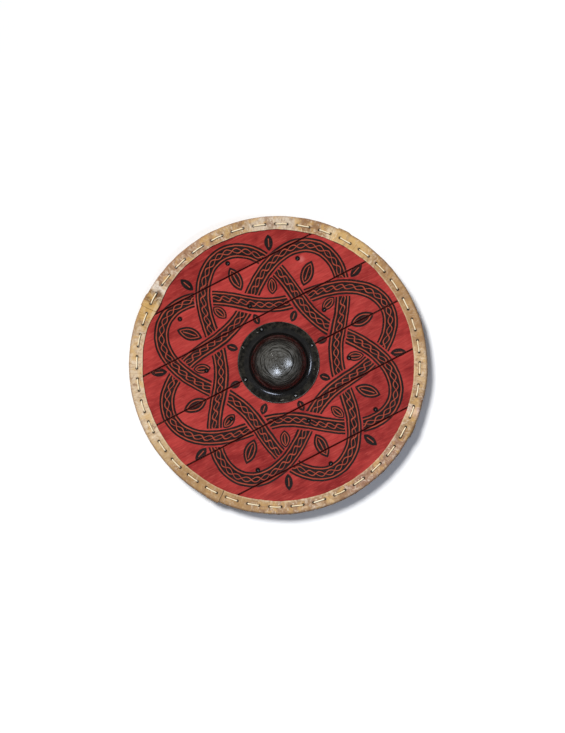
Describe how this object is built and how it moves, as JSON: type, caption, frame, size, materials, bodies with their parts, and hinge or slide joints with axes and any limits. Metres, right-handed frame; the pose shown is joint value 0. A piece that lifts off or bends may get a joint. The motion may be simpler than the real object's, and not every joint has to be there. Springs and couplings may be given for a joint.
{
  "type": "wooden round shield",
  "caption": "Round plank shield with a domed steel boss over its hand hole, a batten handle behind, and a rawhide rim sewn on with a running lace.",
  "frame": {"origin": "centre of the round rim, on the surface that the shield lies on with its front up", "axes": "+Z out of the front through the boss, +X along the planks, +Y across the planks along the handle batten"},
  "size_m": [0.61, 0.61, 0.0876],
  "materials": {
    "red_paint": "red paint on wood, worn and faintly grained, with black painted ornament",
    "batten_wood": "bare pine, planed and lightly stained",
    "boss_steel": "blackened steel under clear lacquer, ground in circles and scratched",
    "rawhide": "stiff dried rawhide, mottled tan, gold and white",
    "lace": "cream rawhide thong",
    "nail_iron": "blackened domed nail heads"
  },
  "bodies": {
    "root": {"plank_1": "red_paint", "plank_2": "red_paint", "plank_3": "red_paint", "plank_4": "red_paint", "plank_5": "red_paint", "plank_6": "red_paint", "batten_left": "batten_wood", "batten_right": "batten_wood", "handle_batten": "batten_wood", "boss": "boss_steel", "rawhide_strip_1": "rawhide", "rawhide_strip_2": "rawhide", "rawhide_strip_3": "rawhide", "rawhide_strip_4": "rawhide", "lacing": "lace", "plank_nail_1": "nail_iron", "plank_nail_2": "nail_iron", "plank_nail_3": "nail_iron", "plank_nail_4": "nail_iron", "plank_nail_5": "nail_iron", "plank_nail_6": "nail_iron", "plank_nail_7": "nail_iron", "plank_nail_8": "nail_iron", "plank_nail_9": "nail_iron", "plank_nail_10": "nail_iron", "plank_nail_11": "nail_iron", "plank_nail_12": "nail_iron", "boss_nail_1": "nail_iron", "boss_nail_2": "nail_iron", "boss_nail_3": "nail_iron", "boss_nail_4": "nail_iron"}
  },
  "joints": []
}
